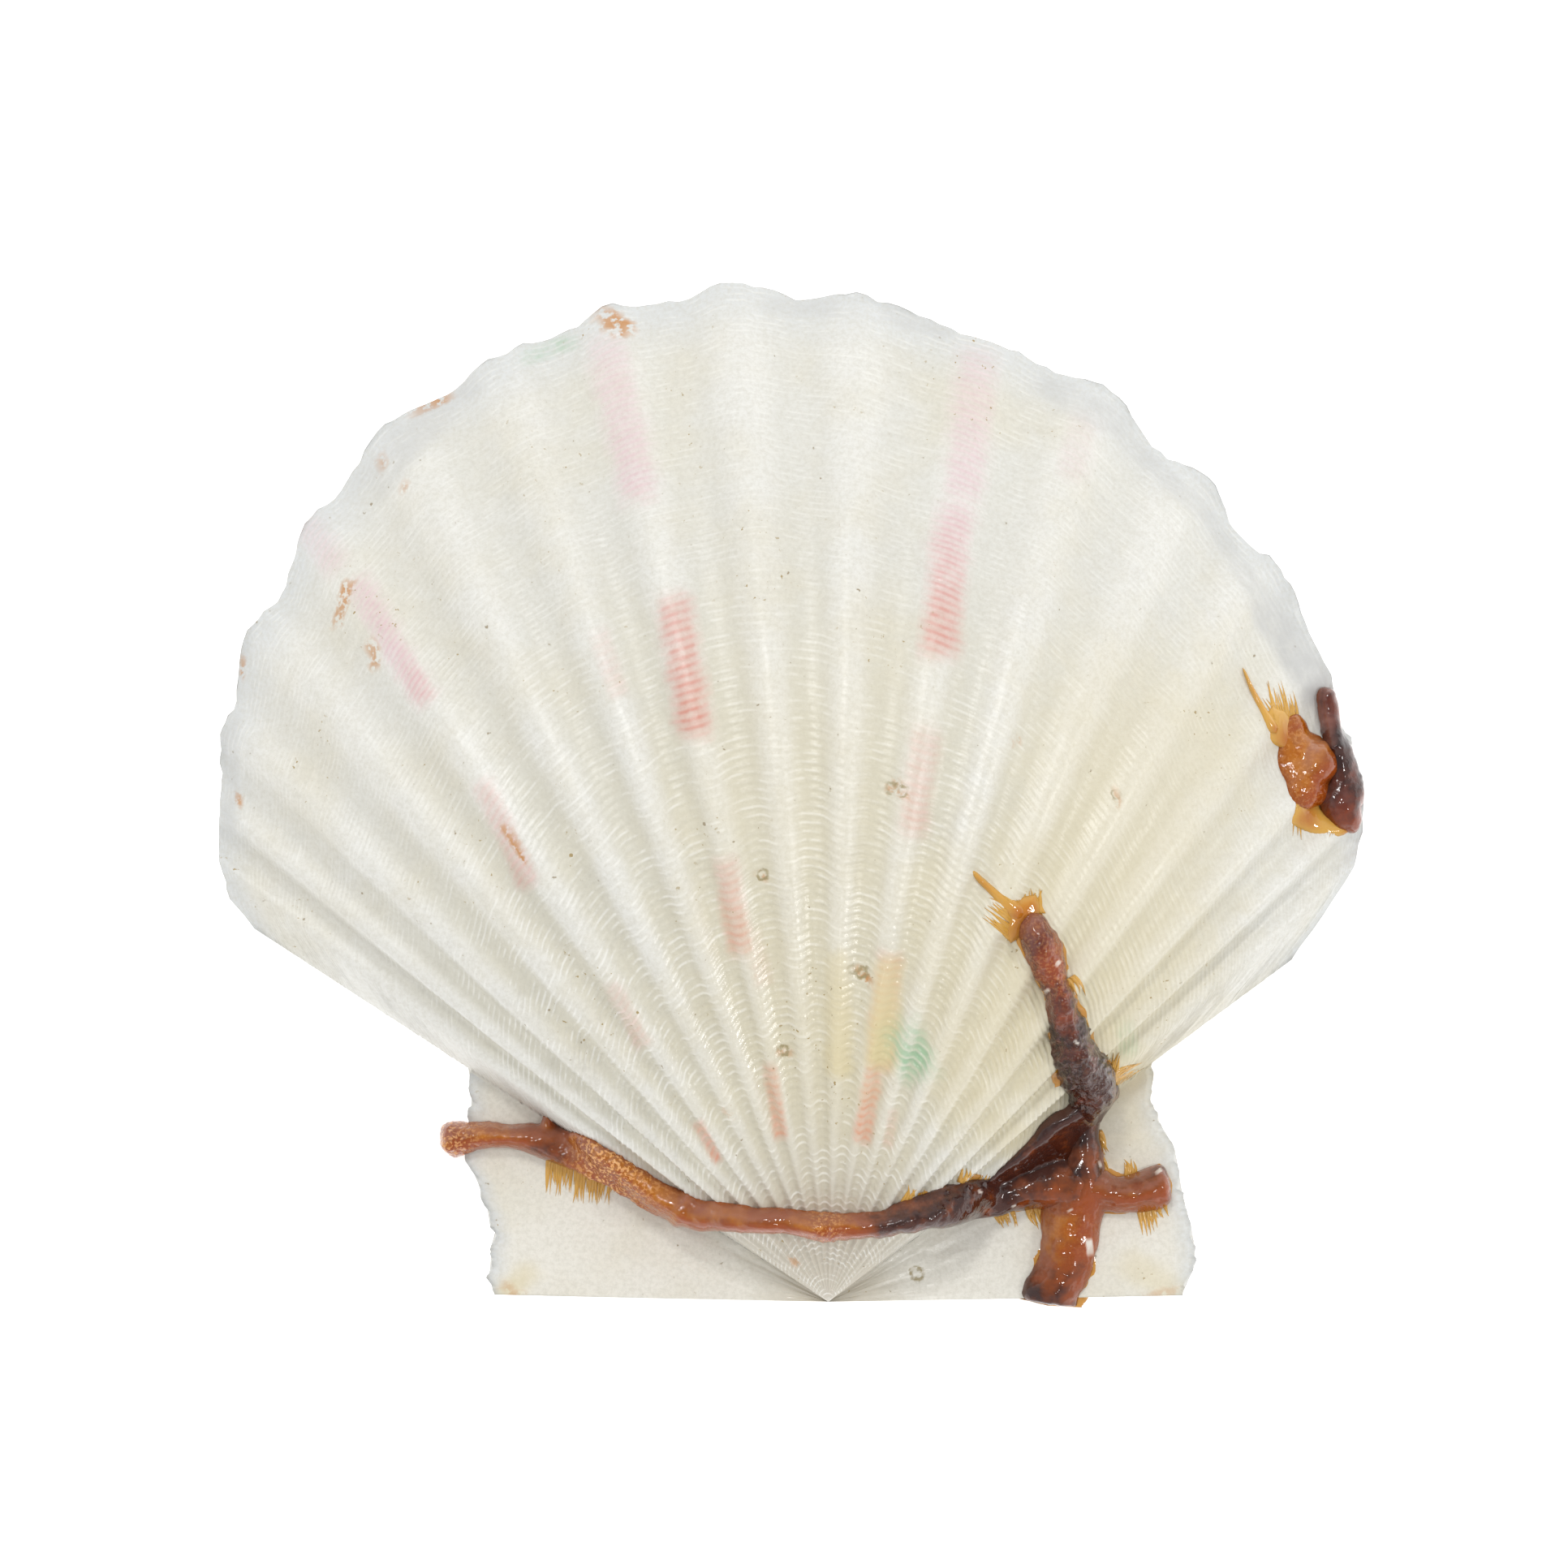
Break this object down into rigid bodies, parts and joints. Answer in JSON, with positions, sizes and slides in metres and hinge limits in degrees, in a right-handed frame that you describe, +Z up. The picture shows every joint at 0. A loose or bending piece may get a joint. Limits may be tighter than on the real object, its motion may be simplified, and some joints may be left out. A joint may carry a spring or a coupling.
{
  "type": "scallop shell valve",
  "caption": "Single domed scallop valve, ribbed and off-white, lying hollow side down, with dried amber glue beads across its ears and dome.",
  "frame": {"origin": "under the middle of the valve's box, on the surface it rests on", "axes": "+X along the straight hinge line, +Y from the hinge to the free margin, +Z up, out of the domed outer side"},
  "size_m": [0.0999, 0.0894, 0.0201],
  "materials": {
    "shell": "off-white calcite shell, satin, with fine growth lines and pink and tan dashes on some rib crests",
    "glue_amber": "dried amber-brown glue, see-through and glossy, with grains in it",
    "glue_dark": "dried dark red-brown glue, see-through where thin and glossy"
  },
  "bodies": {
    "root": {"valve": "shell", "glue_band": "glue_amber", "glue_branch_lower": "glue_amber", "glue_branch_upper": "glue_dark", "glue_patch": "glue_amber"}
  },
  "joints": []
}
